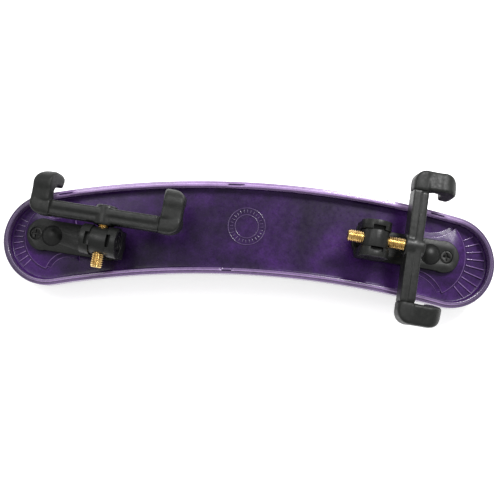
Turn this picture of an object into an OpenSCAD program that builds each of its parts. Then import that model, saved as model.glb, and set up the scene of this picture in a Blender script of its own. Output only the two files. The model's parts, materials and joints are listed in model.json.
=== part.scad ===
// Violin shoulder rest: an arched moulded tray on a foam pad, with two folding feet.
// Frame: +X along the rest, +Y towards the convex edge, +Z up from the pad to the feet.
// Origin: on the table under the middle of the rest. Units: millimetres.
// Each foot is a chain: arm, clevis, barrel with its threaded stem, and fork with two claws.

/* [Tray] */
// Radius of the curved centre line, seen from above
arc_r = 487; // [400:1:700]
// Distance from the middle to the centre of each round end
end_x = 99.9; // [90:0.1:110]
// Half width of the tray
tray_half = 22.9; // [20:0.1:26]
// Radius of the lengthwise arch, at the underside of the tray
arch_r = 900; // [600:10:1500]
// Thickness of the tray floor
floor_t = 2.4; // [1.6:0.1:4]
// Height of the rim above the underside of the tray
rim_h = 8.4; // [6:0.1:12]
// Width of the rim, seen from above
rim_w = 2.8; // [2:0.1:4]
// Width of the lower outer step of the rim
step_w = 1.3; // [0.8:0.1:2]
// Drop of that step
step_drop = 0.8; // [0.3:0.1:2]
// Height of the foot platforms above the floor
plat_h = 1.0; // [0.6:0.1:2]
// Radius of the fan shaped part of the right platform
right_fan_r = 21.3; // [18:0.1:22]
// Radius of the fan shaped part of the left platform
left_fan_r = 17.4; // [14:0.1:18]
// Half width of the right fan at its corners
right_fan_w = 17; // [14:0.1:18]
// Half width of the left fan at its corners
left_fan_w = 15.5; // [12:0.1:16]
// Angle by which both fans turn along the tray's curve
fan_turn = 11; // [0:0.5:15]
// Number of ticks beside each fan
tick_count = 9; // [5:1:15]
// Angle between two ticks
tick_step = 9; // [5:1:12]

/* [Pad] */
// Thickness of the foam pad
pad_t = 9; // [6:0.5:14]
// Thickness of the adhesive film
film_t = 0.4; // [0.2:0.1:0.8]
// Inset of the pad from the edge of the tray
pad_inset = 0.8; // [0:0.1:3]
// Height of the underside of the pad above the table in the middle
pad_rise = 7.6; // [5:0.1:9]

/* [Feet] */
// Right pivot, distance from the middle
right_pivot_x = 89.7; // [80:0.1:100]
// Left pivot, distance from the middle
left_pivot_x = -98; // [-105:0.1:-85]
// Offset of the right pivot from the centre line, towards the convex edge
right_pivot_dy = 1.1; // [-3:0.1:3]
// Offset of the left pivot from the centre line, towards the convex edge
left_pivot_dy = 1.3; // [-3:0.1:3]
// Direction of the right arm, seen from above
right_turn = -6; // [-20:0.1:20]
// Direction of the left arm, seen from above
left_turn = 173.6; // [160:0.1:200]
// Turn of the right clevis on its arm
right_clevis_turn = 0; // [-180:1:180]
// Turn of the left clevis on its arm
left_clevis_turn = -90; // [-180:1:180]
// Distance from the right pivot to the centre of its clevis
right_arm_len = 32.3; // [24:0.1:34]
// Distance from the left pivot to the centre of its clevis
left_arm_len = 29.4; // [24:0.1:34]
// Width of the arm
arm_w = 15.4; // [10:0.1:15.4]
// Thickness of the arm
arm_t = 3; // [2:0.1:5]
// Distance from the pivot to the lock screw
lock_x = 8.4; // [8.4:0.1:10]
// Distance from the right pivot to the outer end of its arm
right_arm_end = 14.9; // [12.5:0.1:17]
// Distance from the left pivot to the outer end of its arm
left_arm_end = 13.1; // [12.5:0.1:17]
// Height of the fold hinge above the platform
hinge_z = 17.2; // [15:0.1:20]
// Radius of the clevis ears
ear_r = 7.3; // [7:0.1:9]
// Half length of the clevis along its hinge
clevis_half = 8.7; // [8.6:0.1:10]
// Half length of the barrel
barrel_half = 4; // [3.8:0.1:4.2]
// Radius of the barrel
barrel_r = 6.6; // [6:0.1:7]
// Gap beside the barrel
side_gap = 0.3; // [0.1:0.05:0.5]
// Running clearance of the round fits
run_gap = 0.05; // [0.02:0.01:0.1]

/* [Stem and fork] */
// Radius of the threaded stem
stem_r = 3.0; // [2.5:0.1:4]
// Length of the right threaded stem
right_stem_len = 34.5; // [30:0.5:40]
// Length of the left threaded stem
left_stem_len = 27.5; // [26:0.5:40]
// Reach of the right stem behind its hinge
right_stub = 13.4; // [10:0.1:13.7]
// Reach of the left stem behind its hinge
left_stub = 12.8; // [10:0.1:13.7]
// Distance from hinge to fork bar, right
right_out = 18.6; // [12:0.1:20]
// Distance from hinge to fork bar, left
left_out = 12; // [12:0.1:20]
// Half span of the fork over the claws
fork_half = 37.1; // [30:0.5:42]
// Width of the fork bar
bar_w = 7; // [5:0.1:9]
// Height of the fork bar
bar_h = 8; // [6:0.1:10]
// Radius of the fork hub
hub_r = 5; // [5:0.1:8]
// Width of each claw along the bar
claw_w = 10; // [8:0.5:14]
// Reach of each claw beyond the bar centre
claw_reach = 17.6; // [12:0.1:20]
// Width of the mouth between bar and claw tip
mouth_w = 7.4; // [5:0.1:8]
// Drop of the claw tip below the stem line
tip_drop = 8; // [4:0.1:9]
// Lean of each claw towards the middle of its fork
claw_lean = 10; // [0:1:15]

/* [Hidden] */
$fn = 96;
big_fn = 256;
floor_r = arch_r + floor_t;
rim_r = arch_r + rim_h;
pad_top_r = arch_r - film_t;
pad_bottom_r = pad_top_r - pad_t;
arch_z = pad_rise - pad_bottom_r;
mid_y = 6.5;
arc_cy = mid_y - arc_r;
end_swell = 0.2;
film_inset = 0.7;
end_a = asin(end_x / arc_r);
inner_half = tray_half - rim_w;
band_len = 200;
far = 700;
tall = 80;
deep = 12;
over = 1;
arm_bottom = 0.1;
arm_top = arm_bottom + arm_t;
arm_end_r = 8.1;
eye_r = 7.8;
stud_r = 2.5;
stud_head_r = 5.2;
stud_head_h = 2.5;
stud_seat = arm_top + 0.1;
stud_washer_r = 4.5;
stud_washer_t = 0.8;
washer_room = 0.1;
dome_r = 6.7;
stud_tail_z = -plat_h - floor_t;
tick_gap = 0.8;
tick_w = 0.5;
tick_h = 0.4;
root_z = 0.8;
tick_room = 0.9;
fan_back = 2;
neck_len = 12;
scallop_back = 4.5;
neck_half = 9;
lock_r = 2.0;
lock_head_r = 3.1;
lock_head_t = 1.2;
lock_seat = 1.5;
cross_len = 4;
cross_w = 0.8;
cross_d = 0.7;
journal_r = 5.2;
clip_r = 6.4;
clip_t = 0.7;
clip_room = 1.4;
clip_gap = 0.3;
clip_low = 0.4;
disc_r = 7.6;
disc_z = arm_top + 0.1;
plate_z = 5.5;
plate_t = 2;
plate_r = 3;
plate_half_u = 7.2;
web_half_u = 6.6;
slot_half = stem_r + 0.5;
ear_in = barrel_half + side_gap;
window_u = 3;
window_v = 1.9;
window_low = 4.2;
trunnion_r = 2.8;
cap_seat = 7.4;
trunnion_half = cap_seat + 0.05;
cap_r = 5.6;
cap_t = 1.1;
cap_groove_r = 3;
cap_groove_w = 0.5;
cap_groove_d = 0.4;
pin_r = 1.4;
pin_tip = stem_r + 0.6;
slot_len = 4.4;
slot_w = 0.9;
slot_d = 0.6;
chamfer = 0.6;
hub_back = 4.4;
hub_front = 5;
rib_h = 0.8;
rib_w = 3.4;
rib_end = 1;
tongue_u = 1.8;
tongue_z = 2.5;
tongue_end = fork_half - 3;
claw_in = fork_half - claw_w;
claw_mid = fork_half - claw_w / 2;
claw_back = 3.8;
claw_top = 4.5;
claw_low = 4.6;
claw_bump_r = 6.4;
claw_bump_z = -1.3;
claw_overlap = 0.6;
tip_r = 2.8;
claw_outer_r = 6;
claw_inner_r = 3;
block_r = 2.2;
lean_room = 1.5;
ring_r = 9.6;
ring_w = 0.7;
ring_h = 0.4;
ring_x = -1.9;
ring_dy = 1.4;
ring_gap = 3.4;
notch_d = 1.2;
notch_drop = 1.6;
end_notch_drop = 6.2;
notch_x = -8;
notch_len = 8;
end_notch_x = 95;
end_notch_len = 7;

// ---- shared placement -------------------------------------------------------------

function pivot_x(side) = side > 0 ? right_pivot_x : left_pivot_x;
function tilt(side) = asin(pivot_x(side) / floor_r);
function pivot_dy(side) = side > 0 ? right_pivot_dy : left_pivot_dy;
function arc_y(x) = sqrt(arc_r * arc_r - x * x) + arc_cy;
function arm_len(side) = side > 0 ? right_arm_len : left_arm_len;
function stub(side) = side > 0 ? right_stub : left_stub;
function out(side) = side > 0 ? right_out : left_out;
function stem_len(side) = side > 0 ? right_stem_len : left_stem_len;
function arm_end(side) = side > 0 ? right_arm_end : left_arm_end;
function fan_r(side) = side > 0 ? right_fan_r : left_fan_r;
function fan_w(side) = side > 0 ? right_fan_w : left_fan_w;
function out_turn(side) = side > 0 ? -fan_turn : 180 + fan_turn;

// Radius of the scallop that runs from a corner of the fan to the narrowest part of the neck.
function scallop_r(side) =
    let (u = sqrt(pow(fan_r(side), 2) - pow(fan_w(side), 2)) - fan_back + scallop_back,
         v = fan_w(side) - neck_half)
    (u * u + v * v) / (2 * v);

// Distance from a pivot to the wall of the round end, in the direction a.
function wall_dist(side, a) =
    let (dx = side * end_x - pivot_x(side),
         dy = arc_y(end_x) - arc_y(pivot_x(side)) - pivot_dy(side),
         p = dx * cos(a) + dy * sin(a),
         q = dx * sin(a) - dy * cos(a))
    p + sqrt(inner_half * inner_half - q * q);

// Frame of a platform: origin on its top at the pivot, +Z along the swivel axis.
module platform_frame(side) {
    translate([0, arc_y(pivot_x(side)) + pivot_dy(side), arch_z])
        rotate([0, tilt(side), 0])
            translate([0, 0, floor_r + plat_h])
                children();
}

// Frame of an arm: +X points out towards the near end of the tray.
module arm_frame(side) {
    platform_frame(side)
        rotate([0, 0, side > 0 ? right_turn : left_turn])
            children();
}

// Frame of a clevis: origin below the hinge at platform height, +X along the folded stem.
module clevis_frame(side) {
    arm_frame(side)
        translate([-arm_len(side), 0, 0])
            rotate([0, 0, side > 0 ? right_clevis_turn : left_clevis_turn])
                children();
}

// Frame of the fold hinge: +X along the stem, +Y along the hinge.
module hinge_frame(side) {
    clevis_frame(side)
        translate([0, 0, hinge_z])
            children();
}

// Frame of a fork: origin where the stem line meets the middle of the bar.
module fork_frame(side) {
    hinge_frame(side)
        translate([out(side), 0, 0])
            children();
}

// ---- shared shapes ----------------------------------------------------------------

// Outline of the rest seen from above, with the given half width; the round ends swell out a little.
module plan(half) {
    translate([0, arc_cy])
        intersection() {
            difference() {
                circle(arc_r + half, $fn = big_fn);
                circle(arc_r - half, $fn = big_fn);
            }
            polygon([[0, 0], [far * sin(end_a), far * cos(end_a)],
                     [-far * sin(end_a), far * cos(end_a)]]);
        }
    for (s = [-1, 1])
        translate([s * end_x, arc_y(end_x)])
            circle(half + end_swell);
}

// Arched layer between two radii, running across the whole rest.
module arch_band(low_r, high_r) {
    translate([0, 0, arch_z])
        rotate([90, 0, 0])
            difference() {
                cylinder(r = high_r, h = band_len, center = true, $fn = big_fn);
                cylinder(r = low_r, h = band_len + 2 * over, center = true, $fn = big_fn);
            }
}

// Part of an arched layer inside the outline.
module layer(half, low_r, high_r) {
    intersection() {
        translate([0, 0, -deep])
            linear_extrude(tall)
                plan(half);
        arch_band(low_r, high_r);
    }
}

// Rectangle from (x0, y0) to (x1, y1) with round corners.
module round_box(x0, y0, x1, y1, r) {
    translate([x0 + r, y0])
        square([x1 - x0 - 2 * r, y1 - y0]);
    translate([x0, y0 + r])
        square([x1 - x0, y1 - y0 - 2 * r]);
    for (x = [x0 + r, x1 - r], y = [y0 + r, y1 - r])
        translate([x, y])
            circle(r, $fn = 48);
}

// Cylinder from z0 to z1.
module post(r, z0, z1) {
    translate([0, 0, z0])
        cylinder(r = r, h = z1 - z0);
}

// Cylinder along +X from x0 to x1.
module rod(r, x0, x1) {
    translate([x0, 0, 0])
        rotate([0, 90, 0])
            cylinder(r = r, h = x1 - x0);
}

// Cylinder along +Y from y0 to y1.
module pin(r, y0, y1) {
    translate([0, y0, 0])
        rotate([-90, 0, 0])
            cylinder(r = r, h = y1 - y0);
}

// ---- tray and pad -----------------------------------------------------------------

// Fan shaped platform with a scalloped neck that carries the arm, and the ticks beside it.
module platform(side) {
    tick_r = fan_r(side) - fan_back + tick_gap;
    platform_frame(side) {
        translate([0, 0, -plat_h - root_z])
            linear_extrude(plat_h + root_z)
                rotate(out_turn(side))
                    difference() {
                        intersection() {
                            translate([-fan_back, 0])
                                circle(fan_r(side));
                            translate([-neck_len, -far])
                                square([far, 2 * far]);
                        }
                        for (s = [-1, 1])
                            translate([-scallop_back, s * (neck_half + scallop_r(side))])
                                circle(scallop_r(side));
                    }
        for (i = [0 : tick_count - 1]) {
            a = out_turn(side) + (i - (tick_count - 1) / 2) * tick_step;
            rotate([0, 0, a])
                translate([tick_r, -tick_w / 2, -plat_h - root_z])
                    cube([wall_dist(side, a) - tick_room - tick_r, tick_w, root_z + tick_h]);
        }
    }
}

// Small notches along the inner edge of the rim.
module rim_notches() {
    for (s = [-1, 1])
        translate([notch_x - notch_len / 2, mid_y + s * (inner_half + notch_d / 2) - notch_d / 2,
                   arch_z + rim_r - notch_drop])
            cube([notch_len, notch_d, deep]);
    for (s = [-1, 1])
        translate([0, arc_cy, 0])
            rotate([0, 0, -s * asin(end_notch_x / (arc_r + tray_half))])
                translate([-end_notch_len / 2, arc_r + inner_half - over, arch_z + rim_r - end_notch_drop])
                    cube([end_notch_len, notch_d + over, deep]);
}

module tray() {
    color([0.34, 0.16, 0.52])
        difference() {
            union() {
                layer(tray_half, arch_r, floor_r);
                difference() {
                    layer(tray_half, arch_r, rim_r);
                    translate([0, 0, -deep])
                        linear_extrude(tall)
                            plan(inner_half);
                    difference() {
                        arch_band(rim_r - step_drop, rim_r + deep);
                        translate([0, 0, -deep])
                            linear_extrude(tall)
                                plan(tray_half - step_w);
                    }
                }
                platform(1);
                platform(-1);
                intersection() {
                    translate([ring_x, mid_y + ring_dy, 0])
                        linear_extrude(tall)
                            for (r = [ring_r, ring_r - ring_gap])
                                difference() {
                                    circle(r);
                                    circle(r - ring_w);
                                }
                    arch_band(arch_r + over, floor_r + ring_h);
                }
            }
            rim_notches();
            for (side = [1, -1])
                platform_frame(side) {
                    post(stud_r, -deep, over);
                    post(stud_washer_r + washer_room, -deep, stud_tail_z + stud_washer_t + washer_room);
                }
        }
}

module adhesive_film() {
    color([0.85, 0.82, 0.75])
        layer(tray_half - pad_inset - film_inset, pad_top_r, arch_r);
}

module foam_pad() {
    color([0.12, 0.12, 0.13])
        intersection() {
            layer(tray_half - pad_inset, pad_bottom_r, pad_top_r);
            translate([-band_len, -band_len / 2, 0])
                cube([2 * band_len, band_len, tall]);
        }
}

// ---- foot pieces ------------------------------------------------------------------

module arm(side) {
    arm_frame(side)
        difference() {
            translate([0, 0, arm_bottom])
                linear_extrude(arm_t) {
                    translate([-arm_len(side), -arm_w / 2])
                        square([arm_len(side) + arm_end(side) - arm_end_r, arm_w]);
                    translate([arm_end(side) - arm_end_r, 0])
                        circle(arm_end_r);
                    translate([-arm_len(side), 0])
                        circle(eye_r);
                }
            post(stud_r + run_gap, -over, deep);
            translate([lock_x, 0, 0]) {
                post(lock_r, -over, deep);
                post(lock_head_r, lock_seat, deep);
            }
            translate([-arm_len(side), 0, 0]) {
                post(journal_r + run_gap, -over, deep);
                post(clip_r + clip_gap, -over, clip_room);
            }
        }
}

// Shouldered stud with a domed head, fixed in the tray.
module pivot_stud(side) {
    platform_frame(side) {
        post(stud_r, stud_tail_z, stud_seat + over / 2);
        intersection() {
            post(stud_head_r, stud_seat, deep);
            translate([0, 0, stud_seat + stud_head_h - dome_r])
                sphere(dome_r);
        }
    }
}

// Washer that holds the tail of the stud under the tray floor.
module stud_washer(side) {
    platform_frame(side)
        difference() {
            post(stud_washer_r, stud_tail_z + washer_room, stud_tail_z + stud_washer_t);
            post(stud_r, -deep, over);
        }
}

// Screw that bears on the fan and holds the arm at its angle.
module lock_screw(side) {
    arm_frame(side)
        translate([lock_x, 0, 0])
            difference() {
                union() {
                    post(lock_r, arm_bottom + run_gap, lock_seat + lock_head_t / 2);
                    post(lock_head_r, lock_seat, lock_seat + lock_head_t);
                }
                for (a = [0, 90])
                    rotate([0, 0, a])
                        translate([-cross_len / 2, -cross_w / 2, lock_seat + lock_head_t - cross_d])
                            cube([cross_len, cross_w, deep]);
            }
}

// One ear of the clevis, on the +Y side, with a bore for the trunnion and a seat for its cap.
module ear() {
    difference() {
        union() {
            translate([0, 0, hinge_z])
                pin(ear_r, ear_in, clevis_half);
            translate([-web_half_u, ear_in, plate_z])
                cube([2 * web_half_u, clevis_half - ear_in, hinge_z - plate_z]);
        }
        translate([0, 0, hinge_z]) {
            pin(trunnion_r + run_gap, 0, deep);
            pin(cap_r + run_gap, cap_seat, deep);
        }
        translate([-window_u, ear_in - over, hinge_z + window_low])
            cube([2 * window_u, window_v + over, ear_r]);
    }
}

// Turning clevis: a round foot in the arm's eye, a slotted plate and two ears.
module clevis(side) {
    clevis_frame(side) {
        difference() {
            union() {
                post(disc_r, disc_z, plate_z);
                translate([0, 0, plate_z])
                    linear_extrude(plate_t)
                        round_box(-plate_half_u, -clevis_half, plate_half_u, clevis_half, plate_r);
            }
            translate([-2 * deep, -slot_half, disc_z])
                cube([2 * deep + slot_half, 2 * slot_half, deep]);
        }
        post(journal_r, clip_low, disc_z);
        ear();
        mirror([0, 1, 0])
            ear();
    }
}

// Retaining ring under the arm, on the foot of the clevis.
module swivel_clip(side) {
    clevis_frame(side)
        difference() {
            post(clip_r, clip_low, clip_low + clip_t);
            post(journal_r, -deep, deep);
        }
}

// Two cap screws that hold the ears on the trunnions of the barrel.
module hinge_screws(side) {
    hinge_frame(side)
        for (m = [0, 1])
            mirror([0, m, 0])
                difference() {
                    union() {
                        pin(pin_r, pin_tip, trunnion_half + cap_t / 2);
                        pin(cap_r, trunnion_half, trunnion_half + cap_t);
                    }
                    difference() {
                        pin(cap_groove_r + cap_groove_w, trunnion_half + cap_t - cap_groove_d, deep);
                        pin(cap_groove_r, 0, deep + over);
                    }
                    translate([-slot_len / 2, trunnion_half + cap_t - slot_d, -slot_w / 2])
                        cube([slot_len, deep, slot_w]);
                }
}

// Barrel that turns in the clevis on two trunnions and carries the stem across it.
module barrel(side) {
    hinge_frame(side)
        difference() {
            union() {
                pin(barrel_r, -barrel_half, barrel_half);
                pin(trunnion_r, -trunnion_half, trunnion_half);
            }
            rod(stem_r + run_gap, -deep, deep);
            for (m = [0, 1])
                mirror([0, m, 0])
                    pin(pin_r, pin_tip, deep);
        }
}

// Threaded stem with a small chamfer at each end.
module stem(side) {
    long = stem_len(side);
    hinge_frame(side)
        translate([-stub(side), 0, 0])
            rotate([0, 90, 0])
                rotate_extrude()
                    polygon([[0, 0], [stem_r - chamfer, 0], [stem_r, chamfer], [stem_r, long - chamfer],
                             [stem_r - chamfer, long], [0, long]]);
}

// Fork bar with its hub, rib and the tongues inside the claws.
module fork_bar(side) {
    reach = stem_len(side) - stub(side) - out(side);
    fork_frame(side)
        difference() {
            union() {
                translate([-bar_w / 2, -claw_in, -bar_h / 2])
                    cube([bar_w, 2 * claw_in, bar_h]);
                translate([bar_w / 2 - rib_w, -claw_in + rib_end, bar_h / 2])
                    cube([rib_w, 2 * (claw_in - rib_end), rib_h]);
                translate([-tongue_u, -tongue_end, -tongue_z])
                    cube([2 * tongue_u, 2 * tongue_end, 2 * tongue_z]);
                rod(hub_r, -hub_back, hub_front);
            }
            rod(stem_r, -deep, reach);
        }
}

// Side profile of a claw's hook: a bridge, a bump and a tip that drops.
module hook_profile() {
    difference() {
        union() {
            translate([claw_back - claw_overlap, claw_bump_z])
                square([claw_reach - claw_bump_r - claw_back + claw_overlap, claw_top - claw_bump_z]);
            translate([claw_reach - claw_bump_r, claw_bump_z])
                circle(claw_bump_r);
            round_box(claw_back + mouth_w, -tip_drop, claw_reach, claw_bump_z + tip_r, tip_r);
        }
        translate([claw_back, -deep])
            square([mouth_w, deep - mouth_w / 2]);
        translate([claw_back + mouth_w / 2, -mouth_w / 2])
            circle(mouth_w / 2);
    }
}

// Claw on one end of the bar: end 1 is towards +Y, end -1 towards -Y.
module claw(side, end) {
    fork_frame(side)
        mirror([0, end > 0 ? 0 : 1, 0])
            difference() {
                intersection() {
                    union() {
                        translate([0, fork_half, 0])
                            rotate([90, 0, 0])
                                linear_extrude(claw_w)
                                    round_box(-claw_back, -claw_low, claw_back, claw_top, block_r);
                        translate([0, claw_mid, 0])
                            rotate([-claw_lean, 0, 0])
                                translate([0, claw_w / 2, 0])
                                    rotate([90, 0, 0])
                                        linear_extrude(claw_w)
                                            hook_profile();
                    }
                    translate([0, 0, -deep])
                        linear_extrude(2 * deep)
                            round_box(-claw_back, claw_in - deep, claw_reach, fork_half, claw_outer_r);
                    translate([0, 0, -deep])
                        linear_extrude(2 * deep)
                            round_box(-claw_back - deep, claw_in - lean_room, claw_reach, fork_half + deep,
                                      claw_inner_r);
                }
                translate([-tongue_u, 0, -tongue_z])
                    cube([2 * tongue_u, tongue_end, 2 * tongue_z]);
                translate([-bar_w / 2, 0, -deep])
                    cube([bar_w, claw_in, 2 * deep]);
            }
}

module right_arm() color([0.13, 0.13, 0.13]) arm(1);
module right_pivot_stud() color([0.2, 0.2, 0.2]) pivot_stud(1);
module right_stud_washer() color([0.6, 0.6, 0.62]) stud_washer(1);
module right_lock_screw() color([0.08, 0.08, 0.08]) lock_screw(1);
module right_clevis() color([0.15, 0.15, 0.15]) clevis(1);
module right_swivel_clip() color([0.6, 0.6, 0.62]) swivel_clip(1);
module right_hinge_screws() color([0.1, 0.1, 0.1]) hinge_screws(1);
module right_barrel() color([0.17, 0.17, 0.17]) barrel(1);
module right_stem() color([0.8, 0.65, 0.3]) stem(1);
module right_fork_bar() color([0.14, 0.14, 0.14]) fork_bar(1);
module right_claw_upper() color([0.1, 0.1, 0.1]) claw(1, 1);
module right_claw_lower() color([0.1, 0.1, 0.1]) claw(1, -1);
module left_arm() color([0.13, 0.13, 0.13]) arm(-1);
module left_pivot_stud() color([0.2, 0.2, 0.2]) pivot_stud(-1);
module left_stud_washer() color([0.6, 0.6, 0.62]) stud_washer(-1);
module left_lock_screw() color([0.08, 0.08, 0.08]) lock_screw(-1);
module left_clevis() color([0.15, 0.15, 0.15]) clevis(-1);
module left_swivel_clip() color([0.6, 0.6, 0.62]) swivel_clip(-1);
module left_hinge_screws() color([0.1, 0.1, 0.1]) hinge_screws(-1);
module left_barrel() color([0.17, 0.17, 0.17]) barrel(-1);
module left_stem() color([0.8, 0.65, 0.3]) stem(-1);
module left_fork_bar() color([0.14, 0.14, 0.14]) fork_bar(-1);
module left_claw_inner() color([0.1, 0.1, 0.1]) claw(-1, -1);
module left_claw_outer() color([0.1, 0.1, 0.1]) claw(-1, 1);

tray();
adhesive_film();
foam_pad();
right_arm();
right_pivot_stud();
right_stud_washer();
right_lock_screw();
right_clevis();
right_swivel_clip();
right_hinge_screws();
right_barrel();
right_stem();
right_fork_bar();
right_claw_upper();
right_claw_lower();
left_arm();
left_pivot_stud();
left_stud_washer();
left_lock_screw();
left_clevis();
left_swivel_clip();
left_hinge_screws();
left_barrel();
left_stem();
left_fork_bar();
left_claw_inner();
left_claw_outer();
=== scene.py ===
import json
import math

import bmesh
import bpy
from mathutils import Matrix, Vector, noise


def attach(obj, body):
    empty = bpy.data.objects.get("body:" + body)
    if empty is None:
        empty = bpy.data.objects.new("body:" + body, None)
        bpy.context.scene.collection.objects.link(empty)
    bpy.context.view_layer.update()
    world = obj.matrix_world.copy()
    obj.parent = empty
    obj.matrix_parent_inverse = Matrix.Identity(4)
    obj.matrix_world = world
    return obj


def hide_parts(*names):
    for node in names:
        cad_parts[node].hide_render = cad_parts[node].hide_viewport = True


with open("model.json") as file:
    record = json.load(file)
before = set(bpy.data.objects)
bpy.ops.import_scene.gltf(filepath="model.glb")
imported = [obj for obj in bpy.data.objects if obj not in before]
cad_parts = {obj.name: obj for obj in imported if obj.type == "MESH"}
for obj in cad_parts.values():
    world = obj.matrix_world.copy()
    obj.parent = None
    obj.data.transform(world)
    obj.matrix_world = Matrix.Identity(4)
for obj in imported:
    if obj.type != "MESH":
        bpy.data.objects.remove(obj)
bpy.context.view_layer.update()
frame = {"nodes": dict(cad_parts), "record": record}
nodes = frame["nodes"]
record = frame["record"]
joints = {j["name"]: j for j in record["behaviour"]["joints"]}
body_of_node = {n: b for b, ns in record["behaviour"]["bodies"].items() for n in ns}
slot_of_node = {s["node"]: s["material_slot"] for s in record["subparts"]}

MM = 0.001

# Sizes are in millimetres and angles in degrees, unless a comment says otherwise.
# Sizes that the CAD has too bear its names, in capitals.

# Plan of the tray: an arc with round ends, which swell a little once they are END_SWELL_HALF wide
ARC_R = 487.0
END_X = 99.9
END_SWELL = 0.2
END_SWELL_HALF = 9.0
MID_Y = 6.5
TRAY_HALF = 22.9
RIM_W = 2.8
STEP_W = 1.3
ARC_CY = MID_Y - ARC_R
END_A = math.asin(END_X / ARC_R)  # radians
INNER_HALF = TRAY_HALF - RIM_W

# Cross-section of the tray, as radii of its arch
ARCH_R = 900.0
FLOOR_T = 2.4
RIM_H = 8.4
STEP_DROP = 0.8
FLOOR_R = ARCH_R + FLOOR_T
RIM_R = ARCH_R + RIM_H

# Rounding of the tray's edges and corners
LOW_ROUND = 0.3
STEP_ROUND = 0.5
STEP_FILLET = 0.22
CREST_ROUND = 0.35
CREST_IN = 1.0
INNER_ROUND = 0.5
FLOOR_FILLET = 1.3
UNDERSIDE_ROWS = (0, 8, 16)
FLOOR_ROWS = (17, 14, 11, 8, 5, 2.5, 0)

# Notches in the top of the rim: place along X, length, and the long side they are on.
# They lower what lies within NOTCH_BELOW of the rim's height, from NOTCH_INSIDE inside its inner edge.
CONVEX = 1
CONCAVE = -1
NOTCHES = [(-8.0, 8.0, CONVEX), (-10.5, 5.0, CONCAVE), (93.0, 7.0, CONVEX), (-93.0, 7.0, CONVEX)]
NOTCH_DEPTH = 0.9
NOTCH_BELOW = 0.7
NOTCH_INSIDE = 0.1

# Points of the plan outline: along each long side and round each end
ARC_STEPS = 210
END_STEPS = 44
RING_POINTS = 2 * (ARC_STEPS + END_STEPS)

# Pad and adhesive film. The pad's skin is uneven, but not within PAD_GLUED of its top radius,
# and what is lower than PAD_FLAT stands flat on the ground.
FILM_T = 0.4
PAD_T = 9.0
PAD_RISE = 7.6
PAD_INSET = 0.8
PAD_TOP_ROUND = 0.8
PAD_LOW_ROUND = 2.6
PAD_BULGE = ((3.0, 0.15), (4.6, 0.2))  # depth below the top of the pad, bulge of its side
PAD_TOP_ROWS = (0, 7, 14)
PAD_LOW_ROWS = (17, 14, 11, 7.5, 4, 0)
PAD_BROAD = (90, 0.16)  # waves per metre, height
PAD_FINE = (330, 0.07)
PAD_GLUED = 0.5
PAD_FLAT = 0.4
ARCH_Z = PAD_RISE - (ARCH_R - FILM_T - PAD_T)

# Fan platforms, with a low step round them; all stand ROOT_Z deep in the floor
PLAT_H = 1.0
ROOT_Z = 0.8
FAN_BACK = 2.0
FAN_TURN = 11.0
NECK_LEN = 12.0
NECK_HALF = 9.0
SCALLOP_BACK = 4.5
FAN_STEPS = 40
FAN_SEARCH = 0.25
PLAT_ROUND = 0.4
LOW_STEP_OUT = 2.2
LOW_STEP_H = 0.35
LOW_STEP_ROUND = 0.3
FRONT_GROW = 0.5
NECK_GROW = 0.15

# Scale ticks in front of each fan
TICK_COUNT = 9
TICK_STEP = 9
TICK_GAP = 0.8
TICK_ROOM = 0.9
TICK_H = 0.4
TICK_HALF = 0.26
TICK_ROUND = 0.12

# Two rings in the middle of the floor, and the ribs between them
RING_X = -1.9
RING_Y = 7.9
RING_R = 9.6
RING_W = 0.7
RING_GAP = 3.4
RING_HALF = 0.38
RING_RISE = 0.42
RING_SUNK = 0.05
RING_STEPS = 96
RING_SIDES = 6
RIB_COUNT = 28
RIB_FROM = 6.8
RIB_TO = 8.4
RIB_HALF = 0.2
RIB_RISE = 0.22
RIB_ROOT = 0.4
RIB_ROUND = 0.08

# Threaded stems
STEM_R = 3.0
THREAD_PITCH = 1.0
THREAD_DEPTH = 0.55
THREAD_FLAT = 0.04
STEM_CHAMFER = 0.75
STEM_AROUND = 40
STEPS_PER_TURN = 10

# What differs between the two feet: the fan, the way it faces, the stem and the names of its claws
FEET = {
    "right": {"fan_r": 21.3, "fan_w": 17.0, "out_turn": -FAN_TURN,
              "stem_stub": 13.4, "stem_len": 34.5, "claws": ("upper", "lower")},
    "left": {"fan_r": 17.4, "fan_w": 15.5, "out_turn": 180 + FAN_TURN,
             "stem_stub": 12.8, "stem_len": 27.5, "claws": ("inner", "outer")},
}

# Light and camera, with lengths in metres and only the sensor in millimetres
WORLD_STRENGTH = 0.66
FLOOR_SIZE = 8
FLOOR_DROP = 0.0003
KEY_PLACE = (0.26, 0.36, 0.60)
KEY_AIM = (0.04, 0, 0)
FILL_PLACE = (-0.35, 0.30, 0.70)
FILL_AIM = (0, 0, 0)
CAM_DISTANCE = 0.405
CAM_ELEVATION = 81.8
CAM_ROLL = 3.28
CAM_AIM = Vector((-0.00024, 0.00708, 0.022))
CAM_FIELD = 0.2475
CAM_SHIFT_Y = -0.045
SENSOR = 36


# ---- materials --------------------------------------------------------------------

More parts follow.
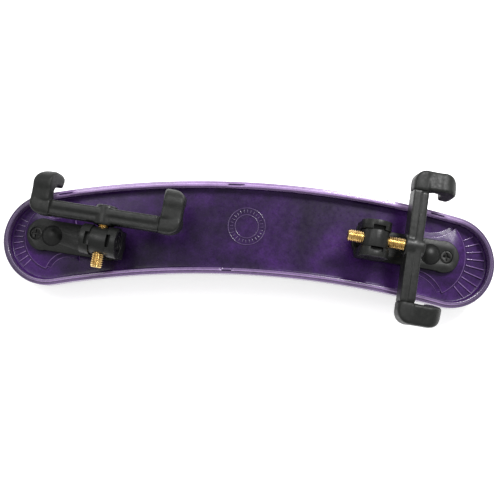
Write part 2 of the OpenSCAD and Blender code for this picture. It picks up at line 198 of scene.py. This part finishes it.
class Mat:
    """A node material under construction, with object coordinates in millimetres."""

    def __init__(self, name, **shader):
        self.mat = bpy.data.materials.new(name)
        self.mat.use_nodes = True
        self.tree = self.mat.node_tree
        self.bsdf = self.tree.nodes["Principled BSDF"]
        for key, value in shader.items():
            self.bsdf.inputs[key.replace("_", " ")].default_value = value
        coords = self.add("ShaderNodeTexCoord")
        scale = self.add("ShaderNodeVectorMath", operation="SCALE")
        scale.inputs["Scale"].default_value = 1 / MM
        self.link(coords.outputs["Object"], scale.inputs[0])
        self.co = scale.outputs[0]

    def add(self, kind, **settings):
        n = self.tree.nodes.new(kind)
        for key, value in settings.items():
            setattr(n, key, value)
        return n

    def link(self, a, b):
        self.tree.links.new(a, b)

    def noise(self, scale, detail=4.0, rough=0.55, distort=0.0, stretch=None):
        n = self.add("ShaderNodeTexNoise")
        n.inputs["Scale"].default_value = scale
        n.inputs["Detail"].default_value = detail
        n.inputs["Roughness"].default_value = rough
        n.inputs["Distortion"].default_value = distort
        source = self.co
        if stretch:
            m = self.add("ShaderNodeVectorMath", operation="MULTIPLY")
            m.inputs[1].default_value = stretch
            self.link(self.co, m.inputs[0])
            source = m.outputs[0]
        self.link(source, n.inputs["Vector"])
        return n.outputs["Fac"]

    def voronoi(self, scale):
        n = self.add("ShaderNodeTexVoronoi", feature="F1")
        n.inputs["Scale"].default_value = scale
        self.link(self.co, n.inputs["Vector"])
        return n.outputs["Distance"]

    def ramp(self, fac, stops):
        n = self.add("ShaderNodeValToRGB")
        while len(n.color_ramp.elements) < len(stops):
            n.color_ramp.elements.new(0.5)
        for e, (pos, col) in zip(n.color_ramp.elements, stops):
            e.position = pos
            e.color = (*col, 1) if isinstance(col, tuple) else (col, col, col, 1)
        self.link(fac, n.inputs["Fac"])
        return n.outputs["Color"]

    def spread(self, fac, low, high):
        """Stretches the middle of a noise, 0.3 to 0.7, from low to high."""
        n = self.add("ShaderNodeMapRange")
        n.inputs["From Min"].default_value = 0.3
        n.inputs["From Max"].default_value = 0.7
        n.inputs["To Min"].default_value = low
        n.inputs["To Max"].default_value = high
        self.link(fac, n.inputs["Value"])
        return n.outputs["Result"]

    def ease(self, value, low, high):
        """0 below low, 1 above high, easing between."""
        n = self.add("ShaderNodeMapRange", interpolation_type="SMOOTHSTEP")
        n.inputs["From Min"].default_value = low
        n.inputs["From Max"].default_value = high
        self.link(value, n.inputs["Value"])
        return n.outputs["Result"]

    def end_distance(self):
        """Distance from the middle of the rest along its length, in millimetres."""
        split = self.add("ShaderNodeSeparateXYZ")
        self.link(self.co, split.inputs[0])
        size = self.add("ShaderNodeMath", operation="ABSOLUTE")
        self.link(split.outputs["X"], size.inputs[0])
        return size.outputs[0]

    def mix(self, fac, a, b, blend="MIX"):
        n = self.add("ShaderNodeMix", data_type="RGBA", blend_type=blend)
        for socket, value in ((n.inputs[0], fac), (n.inputs[6], a), (n.inputs[7], b)):
            if isinstance(value, (int, float, tuple)):
                socket.default_value = (*value, 1) if isinstance(value, tuple) else value
            else:
                self.link(value, socket)
        return n.outputs[2]

    def bump(self, height, strength, distance, base=None):
        n = self.add("ShaderNodeBump")
        n.inputs["Strength"].default_value = strength
        n.inputs["Distance"].default_value = distance * MM
        self.link(height, n.inputs["Height"])
        if base:
            self.link(base, n.inputs["Normal"])
        self.link(n.outputs["Normal"], self.bsdf.inputs["Normal"])
        return n.outputs["Normal"]

    def colour(self, socket):
        self.link(socket, self.bsdf.inputs["Base Color"])

    def rough(self, socket):
        self.link(socket, self.bsdf.inputs["Roughness"])


def tray_floor_material():
    m = Mat("tray_floor", IOR=1.40, Specular_IOR_Level=0.22, Coat_Weight=0.05, Coat_Roughness=0.08)
    cloud = m.noise(0.022, 4, 0.6, 0.4)
    patch = m.noise(0.16, 5, 0.68)
    grain = m.noise(1.1, 6, 0.75)
    base = m.ramp(cloud, [(0.36, (0.0115, 0.0045, 0.024)), (0.50, (0.0225, 0.0070, 0.049)),
                          (0.62, (0.040, 0.0110, 0.088))])
    base = m.mix(0.75, base, m.ramp(patch, [(0.30, 0.62), (0.52, 1.0), (0.74, 1.55)]), "MULTIPLY")
    base = m.mix(0.9, base, m.ramp(grain, [(0.30, 0.55), (0.52, 1.0), (0.72, 1.5)]), "MULTIPLY")
    m.colour(base)
    m.rough(m.spread(m.noise(0.5, 4), 0.24, 0.40))
    m.bump(m.noise(1.6, 3), 0.05, 0.04)
    return m.mat


def scaled(colour, factor):
    return tuple(factor * v for v in colour)


def tray_rim_material(name, light, painted_end_shade):
    """Satin violet plastic, paler along the sides than round the ends; the darker ends are painted shade."""
    m = Mat(name, IOR=1.45, Coat_Weight=0.35, Coat_Roughness=0.06)
    streak = m.noise(0.12, 4, 0.6, 0.3)
    fine = m.noise(1.3, 4, 0.7)
    side = m.ramp(streak, [(0.30, scaled(light, 0.8)), (0.55, light), (0.75, scaled(light, 1.2))])
    # Towards the ends the colour eases into the darker one: painted shade.
    tone = m.mix(m.ease(m.end_distance(), 92, 117), side, painted_end_shade)
    m.colour(m.mix(0.45, tone, m.ramp(fine, [(0.3, 0.6), (0.7, 1.35)]), "MULTIPLY"))
    m.rough(m.spread(m.noise(0.6, 3), 0.16, 0.32))
    m.bump(m.noise(1.4, 4), 0.12, 0.08)
    return m.mat


# Paler violet for raised edges and ridges on the floor: painted highlight.
def tray_highlight_material(name, low, high):
    m = Mat(name, IOR=1.42, Coat_Weight=0.3, Coat_Roughness=0.08, Roughness=0.25)
    m.colour(m.ramp(m.noise(0.4, 4, 0.7), [(0.3, low), (0.7, high)]))
    m.bump(m.noise(1.3, 3), 0.1, 0.06)
    return m.mat


def black_material(name, tone=0.0085, low=0.32, high=0.48):
    m = Mat(name, IOR=1.34)
    wear = m.noise(0.25, 5, 0.68)
    fine = m.noise(2.2, 5, 0.75)
    base = m.ramp(wear, [(0.30, (tone * 0.62, tone * 0.66, tone * 0.62)),
                         (0.58, (tone, tone * 1.05, tone * 0.98)),
                         (0.80, (tone * 1.9, tone * 2.0, tone * 1.8))])
    m.colour(m.mix(0.7, base, m.ramp(fine, [(0.30, 0.6), (0.55, 1.0), (0.75, 1.9)]), "MULTIPLY"))
    m.rough(m.spread(m.noise(0.6, 4), low, high))
    grain = m.bump(m.noise(5.0, 3, 0.6), 0.25, 0.06)
    m.bump(m.noise(0.45, 3), 0.16, 0.2, grain)
    return m.mat


def rubber_material():
    m = Mat("claw_rubber", IOR=1.34)
    wear = m.noise(0.30, 5, 0.68)
    fine = m.noise(2.0, 5, 0.75)
    base = m.ramp(wear, [(0.30, (0.0055, 0.0060, 0.0055)), (0.58, (0.0100, 0.0107, 0.0098)),
                         (0.80, (0.0240, 0.0250, 0.0228))])
    m.colour(m.mix(0.7, base, m.ramp(fine, [(0.30, 0.6), (0.55, 1.0), (0.75, 1.9)]), "MULTIPLY"))
    m.rough(m.spread(m.noise(0.7, 4), 0.38, 0.56))
    grain = m.bump(m.noise(4.0, 4, 0.7), 0.3, 0.09)
    m.bump(m.noise(0.4, 3), 0.2, 0.3, grain)
    return m.mat


def foam_material():
    m = Mat("pad_foam", IOR=1.45)
    m.bsdf.inputs["Sheen Weight"].default_value = 0.25
    m.bsdf.inputs["Sheen Roughness"].default_value = 0.6
    cells = m.voronoi(1.5)
    blot = m.noise(0.06, 4)
    tone = m.mix(0.8, m.ramp(blot, [(0.3, (0.020, 0.020, 0.023)), (0.7, (0.036, 0.036, 0.040))]),
                 m.ramp(cells, [(0.05, 0.35), (0.35, 1.0), (0.6, 1.3)]), "MULTIPLY")
    m.colour(tone)
    m.rough(m.spread(m.noise(1.1, 3), 0.8, 0.95))
    fine = m.bump(cells, 0.7, 0.25)
    m.bump(m.noise(3.0, 4, 0.7), 0.4, 0.15, fine)
    return m.mat


def brass_material():
    m = Mat("stem_brass", Metallic=1.0)
    m.colour(m.ramp(m.noise(0.8, 4), [(0.30, (0.40, 0.25, 0.08)), (0.58, (0.72, 0.52, 0.22)),
                                      (0.80, (0.90, 0.72, 0.38))]))
    m.rough(m.spread(m.noise(1.4, 4), 0.16, 0.34))
    m.bump(m.noise(7.0, 2), 0.15, 0.03)
    return m.mat


def metal_material(name, low, high, rough_low, rough_high):
    m = Mat(name, Metallic=1.0)
    m.colour(m.ramp(m.noise(0.7, 4), [(0.3, low), (0.7, high)]))
    m.rough(m.spread(m.noise(2.0, 4), rough_low, rough_high))
    m.bump(m.noise(5.0, 3), 0.15, 0.04)
    return m.mat


def film_material():
    m = Mat("adhesive_tape", IOR=1.46, Roughness=0.3)
    m.colour(m.ramp(m.noise(0.3, 4), [(0.3, (0.10, 0.08, 0.13)), (0.7, (0.22, 0.18, 0.26))]))
    m.bump(m.noise(1.0, 3), 0.2, 0.1)
    return m.mat


FLOOR = tray_floor_material()
RIM = tray_rim_material("tray_rim", (0.275, 0.178, 0.365), (0.050, 0.029, 0.080))
# A darker copy of the rim, for the concave side: painted shade.
RIM_SHADED = tray_rim_material("tray_rim_shaded", (0.115, 0.070, 0.165), (0.050, 0.029, 0.080))
# A paler copy of the rim, for its crest and the top of the inner wall: painted highlight.
CREST_HIGHLIGHT = tray_rim_material("tray_rim_crest_highlight", (0.430, 0.300, 0.545), (0.085, 0.050, 0.125))
WALL = tray_rim_material("tray_wall", (0.185, 0.105, 0.265), (0.110, 0.065, 0.170))
# Paler than the floor, for the edges of the platforms and the ticks: painted highlight.
EDGE_HIGHLIGHT = tray_highlight_material("tray_edge_highlight", (0.080, 0.040, 0.130), (0.170, 0.100, 0.250))
# A little paler than the floor, for the rings: painted highlight.
FAINT_HIGHLIGHT = tray_highlight_material("tray_relief_highlight", (0.024, 0.010, 0.048), (0.058, 0.030, 0.098))
BLACK = black_material("black_plastic")
BLACK_FORK = black_material("black_plastic_fork", 0.0120, 0.28, 0.44)
RUBBER = rubber_material()
FOAM = foam_material()
BRASS = brass_material()
STEEL = metal_material("plated_steel", (0.42, 0.42, 0.44), (0.62, 0.62, 0.64), 0.22, 0.4)
DARK = metal_material("blackened_steel", (0.010, 0.010, 0.010), (0.035, 0.035, 0.034), 0.35, 0.5)
FILM = film_material()


# ---- making pieces ----------------------------------------------------------------

def piece_from(name, bm, mats, body, slot, replaced=()):
    """A new object from a bmesh, riding on a body and standing for CAD nodes."""
    mesh = bpy.data.meshes.new(name)
    bm.to_mesh(mesh)
    bm.free()
    for mat in mats:
        mesh.materials.append(mat)
    for p in mesh.polygons:
        p.use_smooth = True
    obj = bpy.data.objects.new(name, mesh)
    bpy.context.scene.collection.objects.link(obj)
    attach(obj, body)
    if replaced:
        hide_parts(*replaced)
    return obj


def clean_copy(node):
    """The CAD node's mesh with its split corners joined and its flat faces whole."""
    bm = bmesh.new()
    bm.from_mesh(nodes[node].data)
    bmesh.ops.remove_doubles(bm, verts=bm.verts, dist=2e-6)
    bmesh.ops.dissolve_limit(bm, angle_limit=math.radians(0.6), verts=bm.verts, edges=bm.edges)
    bmesh.ops.recalc_face_normals(bm, faces=bm.faces)
    return bm


def moulded(node, mat, width, segments=3):
    """A moulded or turned piece: the CAD shape with rounded edges."""
    obj = piece_from(node + "_part", clean_copy(node), [mat], body_of_node[node], slot_of_node[node], [node])
    bevel = obj.modifiers.new("round_edges", "BEVEL")
    bevel.width = width * MM
    bevel.segments = segments
    bevel.limit_method = "ANGLE"
    bevel.angle_limit = math.radians(28)
    bevel.harden_normals = True
    bevel.use_clamp_overlap = True


def soft_moulded(node, mat, voxel, rounds, swell):
    """An overmoulded piece: the CAD shape, remeshed and relaxed until its edges are full and round."""
    obj = piece_from(node + "_part", clean_copy(node), [mat], body_of_node[node], slot_of_node[node], [node])
    remesh = obj.modifiers.new("remesh", "REMESH")
    remesh.mode = "VOXEL"
    remesh.voxel_size = voxel * MM
    remesh.use_smooth_shade = True
    relax = obj.modifiers.new("relax", "SMOOTH")
    relax.factor = 0.5
    relax.iterations = rounds
    fill = obj.modifiers.new("fill", "DISPLACE")
    fill.strength = swell * MM
    fill.mid_level = 0


def on_circle(cx, cy, r, t):
    """The point of a circle at the angle t, in radians."""
    return (cx + r * math.cos(t), cy + r * math.sin(t))


def join_rows(bm, first, second, mat=0):
    """A closed band of faces between two rows of points."""
    for i in range(len(first)):
        j = (i + 1) % len(first)
        f = bm.faces.new((first[i], first[j], second[j], second[i]))
        f.material_index = mat


# ---- tray -------------------------------------------------------------------------

TRAY_MATS = [FLOOR, RIM, CREST_HIGHLIGHT, WALL, RIM_SHADED]
IN_FLOOR = TRAY_MATS.index(FLOOR)
IN_RIM = TRAY_MATS.index(RIM)
IN_CREST_HIGHLIGHT = TRAY_MATS.index(CREST_HIGHLIGHT)
IN_WALL = TRAY_MATS.index(WALL)
IN_SHADED = TRAY_MATS.index(RIM_SHADED)


def arc_point(radius, t):
    """A plan point on an arc with the tray's centre, t being the angle from +Y in radians."""
    return (radius * math.sin(t), ARC_CY + radius * math.cos(t))


def end_point(side, half, part):
    """A plan point round an end, side being 1 on the right and -1 on the left. part goes from 0 to 1."""
    start = END_A if side > 0 else math.pi - END_A
    t = start + math.pi * part
    cx, cy = arc_point(ARC_R, side * END_A)
    r = half + END_SWELL * min(1, half / END_SWELL_HALF) * math.sin(math.pi * part)
    return (cx + r * math.sin(t), cy + r * math.cos(t))


def outline_point(half, i):
    """Point i of the plan outline with that half width, clockwise from the left end of the convex edge."""
    n = ARC_STEPS
    e = END_STEPS
    if i < n:
        return arc_point(ARC_R + half, END_A * (2 * i / n - 1))
    if i < n + e:
        return end_point(1, half, (i - n) / e)
    if i < 2 * n + e:
        return arc_point(ARC_R - half, END_A * (1 - 2 * (i - n - e) / n))
    return end_point(-1, half, (i - 2 * n - e) / e)


def arched(x, y, radius):
    """A plan point lifted to a height on the arch, in metres."""
    return Vector((x, y, ARCH_Z + math.sqrt(radius * radius - x * x))) * MM


def corner(half, radius, r, start, turn, steps):
    """Rings round a corner of the cross-section; of the angles, 0 points outwards and 90 up."""
    return [on_circle(half, radius, r, math.radians(start + turn * k / steps)) for k in range(steps + 1)]


def shell(rings, zone_of, push):
    """A closed mesh from rings of (half width, arch radius).

    zone_of gives a face's material, and push the place of a point.
    """
    bm = bmesh.new()
    grid = []
    for half, radius in rings:
        row = []
        for i in range(RING_POINTS):
            x, y = outline_point(half, i)
            row.append(bm.verts.new(push(arched(x, y, radius), i, half, radius)))
        grid.append(row)
    for k in range(len(rings) - 1):
        for i in range(RING_POINTS):
            j = (i + 1) % RING_POINTS
            f = bm.faces.new((grid[k][i], grid[k][j], grid[k + 1][j], grid[k + 1][i]))
            f.material_index = zone_of(k, i, f.calc_center_median().x / MM)
    bmesh.ops.remove_doubles(bm, verts=bm.verts, dist=1e-6)
    bmesh.ops.recalc_face_normals(bm, faces=bm.faces)
    return bm


def in_notch(x, i):
    """Whether outline point i, at x, is at one of the notches in the top of the rim."""
    if i < ARC_STEPS:
        side = CONVEX
    elif ARC_STEPS + END_STEPS <= i < 2 * ARC_STEPS + END_STEPS:
        side = CONCAVE
    else:
        return False
    return any(side == which and abs(x - centre) < length / 2 for centre, length, which in NOTCHES)


def tray_push(p, i, half, radius):
    """Lowers the top of the rim at its notches."""
    on_top = radius >= RIM_R - NOTCH_BELOW
    on_top = on_top and INNER_HALF - NOTCH_INSIDE <= half <= TRAY_HALF - STEP_W - CREST_ROUND
    if on_top and in_notch(p.x / MM, i):
        return Vector((p.x, p.y, p.z - NOTCH_DEPTH * MM))
    return p


def make_tray():
    """The tray's shell: underside, wall, stepped rim and floor, each with its own material."""
    step_half = TRAY_HALF - STEP_W
    step_r = RIM_R - STEP_DROP
    rings = []
    zones = []

    def add(more, zone):
        """Adds rings, the band that leads up to each of them having that material."""
        rings.extend(more)
        zones.extend([zone] * len(more))

    step_edge = corner(TRAY_HALF - STEP_ROUND, step_r - STEP_ROUND, STEP_ROUND, 0, 90, 4)
    fillet = corner(INNER_HALF - FLOOR_FILLET, FLOOR_R + FLOOR_FILLET, FLOOR_FILLET, 0, -90, 5)
    add([(half, ARCH_R) for half in UNDERSIDE_ROWS], IN_WALL)
    add(corner(TRAY_HALF - LOW_ROUND, ARCH_R + LOW_ROUND, LOW_ROUND, -90, 90, 3), IN_WALL)
    add(step_edge[:3], IN_WALL)
    add(step_edge[3:], IN_RIM)
    add(corner(step_half + STEP_FILLET, step_r + STEP_FILLET, STEP_FILLET, -90, -90, 3), IN_RIM)
    # The crest is paler: painted highlight.
    add(corner(step_half - CREST_ROUND, RIM_R - CREST_ROUND, CREST_ROUND, 0, 90, 4), IN_CREST_HIGHLIGHT)
    add([(INNER_HALF + CREST_IN, RIM_R)], IN_CREST_HIGHLIGHT)
    add(corner(INNER_HALF + INNER_ROUND, RIM_R - INNER_ROUND, INNER_ROUND, 90, 90, 4), IN_RIM)
    # The top band of the inner wall is paler too: painted highlight.
    add(fillet[:1], IN_CREST_HIGHLIGHT)
    add(fillet[1:], IN_FLOOR)
    add([(half, FLOOR_R) for half in FLOOR_ROWS], IN_FLOOR)

    def zone_of(k, i, x):
        """A band's material, but the floor's in a notch, and along the concave side a darker one, painted
        shade, with the crest's painted highlight left off.
        """
        zone = zones[k + 1]
        if zone == IN_CREST_HIGHLIGHT and rings[k + 1][1] > RIM_R - INNER_ROUND and in_notch(x, i):
            return IN_FLOOR
        concave_side = ARC_STEPS + END_STEPS // 2 < i < 2 * ARC_STEPS + 3 * END_STEPS // 2
        # On the concave side the rim takes its darker copy, painted shade, and the crest takes the plain rim
        # colour.
        shaded_copy = {IN_RIM: IN_SHADED, IN_CREST_HIGHLIGHT: IN_RIM}
        return shaded_copy.get(zone, zone) if concave_side else zone

    piece_from("tray_moulding", shell(rings, zone_of, tray_push), TRAY_MATS, "base",
               slot_of_node["tray"], ["tray"])


# ---- platforms, ticks and rings on the tray's floor -------------------------------

def platform_matrix(side):
    """Frame of a foot's platform: origin on its top at the pivot, X in the tray's XZ plane."""
    j = joints[side + "_arm_swivel"]
    z = Vector(j["axis"]).normalized()
    y = Vector((0, 1, 0))
    x = y.cross(z).normalized()
    m = Matrix((x, z.cross(x), z)).transposed().to_4x4()
    m.translation = Vector(j["pos_m"])
    return m


def slab(bm, outline, top, low, m, mats, round_r):
    """A plate with an outline in the plane of m, its top edge rounded. mats are (top, edge)."""
    levels = [(0.0, low), (0.0, top - round_r)]
    levels += [(round_r * (1 - math.cos(a)), top - round_r * (1 - math.sin(a)))
               for a in (0.5, 1.0, math.pi / 2)]
    centre = sum((Vector((x, y, 0)) for x, y in outline), Vector()) / len(outline)
    rows = []
    for inset, z in levels:
        row = []
        for x, y in outline:
            d = Vector((x, y, 0)) - centre
            d = d.normalized() * max(d.length - inset, 0.01)
            row.append(bm.verts.new(m @ ((centre + Vector((d.x, d.y, z))) * MM)))
        rows.append(row)
    for k in range(len(rows) - 1):
        join_rows(bm, rows[k], rows[k + 1], mats[1])
    for cap in (rows[-1], rows[0][::-1]):
        f = bm.faces.new(cap)
        f.material_index = mats[0]


def bar_outline(t, start, end, half):
    """Outline of a straight bar from start to end in the direction t, in radians."""
    c = math.cos(t)
    s = math.sin(t)
    corners = ((start, half), (end, half), (end, -half), (start, -half))
    return [(r * c + w * s, r * s - w * c) for r, w in corners]


def fan_outline(side, grow):
    """Outline of a platform in its own frame; grow moves its scalloped sides outwards."""
    fan_r = FEET[side]["fan_r"]
    fan_w = FEET[side]["fan_w"]
    u = math.sqrt(fan_r ** 2 - fan_w ** 2) - FAN_BACK + SCALLOP_BACK
    v = fan_w - NECK_HALF
    full_r = (u * u + v * v) / (2 * v)
    centre_v = NECK_HALF + full_r
    scallop_r = full_r - grow
    reach = fan_r - FRONT_GROW * grow

    def in_scallop(t):
        """Whether the front arc, at the angle t, has run into the scallop."""
        x, y = on_circle(-FAN_BACK, 0, reach, t)
        return math.hypot(x + SCALLOP_BACK, y - centre_v) < scallop_r

    steps = [math.radians(FAN_SEARCH * k) for k in range(int(90 / FAN_SEARCH) + 1)]
    corner_t = next((t for t in steps if in_scallop(t)), steps[-1])
    half = [on_circle(-FAN_BACK, 0, reach, corner_t * k / FAN_STEPS) for k in range(FAN_STEPS + 1)]
    start = math.atan2(half[-1][1] - centre_v, half[-1][0] + SCALLOP_BACK)
    neck_u = -NECK_LEN + NECK_GROW * grow + SCALLOP_BACK
    end = -math.acos(max(-1.0, neck_u / scallop_r))
    half += [on_circle(-SCALLOP_BACK, centre_v, scallop_r, start + (end - start) * k / FAN_STEPS)
             for k in range(1, FAN_STEPS + 1)]
    outline = half + [(x, -y) for x, y in reversed(half[1:])]
    t = math.radians(FEET[side]["out_turn"])
    return [(x * math.cos(t) - y * math.sin(t), x * math.sin(t) + y * math.cos(t)) for x, y in outline]


def wall_dist(side, a):
    """Distance from a pivot to the wall of the round end, in the direction a, in radians."""
    pivot = Vector(joints[side + "_arm_swivel"]["pos_m"]) / MM
    dx = (END_X if side == "right" else -END_X) - pivot.x
    dy = ARC_CY + ARC_R * math.cos(END_A) - pivot.y
    p = dx * math.cos(a) + dy * math.sin(a)
    q = dx * math.sin(a) - dy * math.cos(a)
    return p + math.sqrt(INNER_HALF ** 2 - q * q)


def make_platform(side):
    """A foot's fan platform with its low step and ticks; their edges and the ticks are paler, a painted
    highlight.
    """
    m = platform_matrix(side)
    low = -PLAT_H - ROOT_Z
    bm = bmesh.new()
    slab(bm, fan_outline(side, 0), 0, low, m, (0, 1), PLAT_ROUND)
    slab(bm, fan_outline(side, LOW_STEP_OUT), -PLAT_H + LOW_STEP_H, low, m, (0, 1), LOW_STEP_ROUND)
    tick_r = FEET[side]["fan_r"] - FAN_BACK + TICK_GAP
    for i in range(TICK_COUNT):
        t = math.radians(FEET[side]["out_turn"] + (i - (TICK_COUNT - 1) / 2) * TICK_STEP)
        outline = bar_outline(t, tick_r, wall_dist(side, t) - TICK_ROOM, TICK_HALF)
        # The ticks are paler all over: painted highlight.
        slab(bm, outline, -PLAT_H + TICK_H, low, m, (1, 1), TICK_ROUND)
    bmesh.ops.recalc_face_normals(bm, faces=bm.faces)
    piece_from(side + "_fan_platform", bm, [FLOOR, EDGE_HIGHLIGHT], "base", slot_of_node["tray"])


def add_ring(bm, r):
    """A low ridge of round section, in a circle round the middle of the rings."""
    rows = []
    for a in range(RING_SIDES + 1):
        u = math.pi * a / RING_SIDES
        height = FLOOR_R - RING_SUNK + RING_RISE * math.sin(u)
        row = []
        for k in range(RING_STEPS):
            x, y = on_circle(RING_X, RING_Y, r + RING_HALF * math.cos(u), 2 * math.pi * k / RING_STEPS)
            row.append(bm.verts.new(arched(x, y, height)))
        rows.append(row)
    for a in range(RING_SIDES + 1):
        join_rows(bm, rows[a], rows[(a + 1) % len(rows)])


def make_rings():
    """Two plain concentric ridges and short ribs between them, moulded in the middle of the floor, a little
    paler than it: painted highlight.
    """
    bm = bmesh.new()
    outer = RING_R - RING_W / 2
    for r in (outer, outer - RING_GAP):
        add_ring(bm, r)
    m = Matrix.Translation(arched(RING_X, RING_Y, FLOOR_R))
    for k in range(RIB_COUNT):
        outline = bar_outline(2 * math.pi * k / RIB_COUNT, RIB_FROM, RIB_TO, RIB_HALF)
        slab(bm, outline, RIB_RISE, -RIB_ROOT, m, (0, 0), RIB_ROUND)
    bmesh.ops.recalc_face_normals(bm, faces=bm.faces)
    piece_from("tray_centre_rings", bm, [FAINT_HIGHLIGHT], "base", slot_of_node["tray"])


# ---- pad and film -----------------------------------------------------------------

def make_pad():
    """Foam pad: a closed form with full rounded edges and a slightly uneven skin."""
    top_r = ARCH_R - FILM_T
    low_r = top_r - PAD_T
    side_half = TRAY_HALF - PAD_INSET
    rings = [(half, top_r) for half in PAD_TOP_ROWS]
    rings += corner(side_half - PAD_TOP_ROUND, top_r - PAD_TOP_ROUND, PAD_TOP_ROUND, 90, -90, 3)
    rings += [(side_half + bulge, top_r - depth) for depth, bulge in PAD_BULGE]
    rings += corner(side_half - PAD_LOW_ROUND, low_r + PAD_LOW_ROUND, PAD_LOW_ROUND, 0, -90, 6)
    rings += [(half, low_r) for half in PAD_LOW_ROWS]

    def push(p, i, half, radius):
        """Makes the skin uneven, but not where the pad is glued or stands on the ground."""
        if p.z < PAD_FLAT * MM:
            return Vector((p.x, p.y, 0.0))
        if radius > top_r - PAD_GLUED:
            return p
        rise = sum(noise.noise(p * waves) * height for waves, height in (PAD_BROAD, PAD_FINE))
        return Vector((p.x, p.y, max(p.z - rise * MM, 0.0)))

    def zone_of(k, i, x):
        """The pad is foam all over."""
        return 0

    pad = piece_from("foam_pad_soft", shell(rings, zone_of, push), [FOAM], "base",
                     slot_of_node["foam_pad"], ["foam_pad"])


def paint_film():
    """The adhesive film keeps its CAD shape."""
    materials = nodes["adhesive_film"].data.materials
    materials.clear()
    materials.append(FILM)


# ---- feet -------------------------------------------------------------------------

def make_stem(side):
    """Threaded brass stem: a helical thread with chamfered ends."""
    length = FEET[side]["stem_len"]
    x = Vector(joints[side + "_height"]["axis"]).normalized()
    y = -Vector(joints[side + "_fold"]["axis"]).normalized()
    m = Matrix((x, y, x.cross(y))).transposed().to_4x4()
    m.translation = Vector(joints[side + "_fold"]["pos_m"])
    bm = bmesh.new()
    rows = []
    count = int(length / THREAD_PITCH * STEPS_PER_TURN)
    for k in range(count + 1):
        u = length * k / count
        chamfered_r = STEM_R - STEM_CHAMFER + min(u, length - u)
        row = []
        for i in range(STEM_AROUND):
            phase = (u / THREAD_PITCH - i / STEM_AROUND) % 1.0
            thread_r = STEM_R - THREAD_DEPTH * (1 - abs(2 * phase - 1))
            r = min(thread_r, STEM_R - THREAD_FLAT, chamfered_r)
            across, up = on_circle(0, 0, r, 2 * math.pi * i / STEM_AROUND)
            row.append(bm.verts.new(m @ (Vector((u - FEET[side]["stem_stub"], across, up)) * MM)))
        rows.append(row)
    for k in range(count):
        join_rows(bm, rows[k], rows[k + 1])
    bm.faces.new(rows[0])
    bm.faces.new(rows[-1][::-1])
    bmesh.ops.recalc_face_normals(bm, faces=bm.faces)
    piece_from(side + "_stem_thread", bm, [BRASS], side + "_fork_body", slot_of_node[side + "_stem"],
               [side + "_stem"])


def make_foot(side):
    """The moulded, turned and overmoulded pieces of one foot."""
    moulded(side + "_arm", BLACK, width=0.6)
    moulded(side + "_clevis", BLACK, width=0.55)
    moulded(side + "_barrel", BLACK, width=0.4)
    soft_moulded(side + "_fork_bar", BLACK_FORK, voxel=0.3, rounds=26, swell=0.15)
    moulded(side + "_pivot_stud", BLACK, width=0.3)
    moulded(side + "_lock_screw", DARK, width=0.12, segments=2)
    moulded(side + "_hinge_screws", DARK, width=0.12, segments=2)
    moulded(side + "_stud_washer", STEEL, width=0.1, segments=2)
    moulded(side + "_swivel_clip", STEEL, width=0.1, segments=2)
    for claw in FEET[side]["claws"]:
        soft_moulded(side + "_claw_" + claw, RUBBER, voxel=0.35, rounds=42, swell=0.3)


make_tray()
for side in FEET:
    make_platform(side)
make_rings()
make_pad()
paint_film()
for side in FEET:
    make_stem(side)
for side in FEET:
    make_foot(side)


# ---- floor, light and camera ------------------------------------------------------

def make_floor():
    bm = bmesh.new()
    bmesh.ops.create_grid(bm, x_segments=1, y_segments=1, size=FLOOR_SIZE)
    mesh = bpy.data.meshes.new("floor")
    bm.to_mesh(mesh)
    bm.free()
    white = Mat("floor_white", Base_Color=(0.93, 0.93, 0.93, 1), Roughness=0.9,
                Emission_Color=(1, 1, 1, 1), Emission_Strength=0.5)
    mesh.materials.append(white.mat)
    floor = bpy.data.objects.new("floor", mesh)
    floor.location.z = -FLOOR_DROP
    bpy.context.scene.collection.objects.link(floor)


def area_light(name, place, aim, size, power):
    data = bpy.data.lights.new(name, "AREA")
    data.shape = "DISK"
    data.size = size
    data.energy = power
    obj = bpy.data.objects.new(name, data)
    obj.location = place
    obj.rotation_euler = (Vector(aim) - Vector(place)).to_track_quat("-Z", "Y").to_euler()
    bpy.context.scene.collection.objects.link(obj)


def make_light():
    world = bpy.data.worlds.new("studio")
    world.use_nodes = True
    back = world.node_tree.nodes["Background"]
    back.inputs["Color"].default_value = (1, 1, 1, 1)
    back.inputs["Strength"].default_value = WORLD_STRENGTH
    bpy.context.scene.world = world
    area_light("key", KEY_PLACE, KEY_AIM, size=0.22, power=5.5)
    area_light("fill", FILL_PLACE, FILL_AIM, size=0.40, power=2)


def make_camera():
    """Looks down on the rest from the side of its concave edge, rolled a little."""
    data = bpy.data.cameras.new("camera")
    data.sensor_width = SENSOR
    data.lens = SENSOR * CAM_DISTANCE / CAM_FIELD
    data.clip_start = 0.01
    data.clip_end = 10
    data.shift_y = CAM_SHIFT_Y
    cam = bpy.data.objects.new("camera", data)
    e = math.radians(CAM_ELEVATION)
    toward = Vector((0, -math.cos(e), math.sin(e)))
    cam.location = CAM_AIM + toward * CAM_DISTANCE
    quat = (-toward).to_track_quat("-Z", "Y")
    cam.rotation_euler = (quat.to_matrix() @ Matrix.Rotation(math.radians(CAM_ROLL), 3, "Z")).to_euler()
    bpy.context.scene.collection.objects.link(cam)
    bpy.context.scene.camera = cam


make_floor()
make_light()
make_camera()
bpy.context.scene.view_settings.view_transform = "Standard"
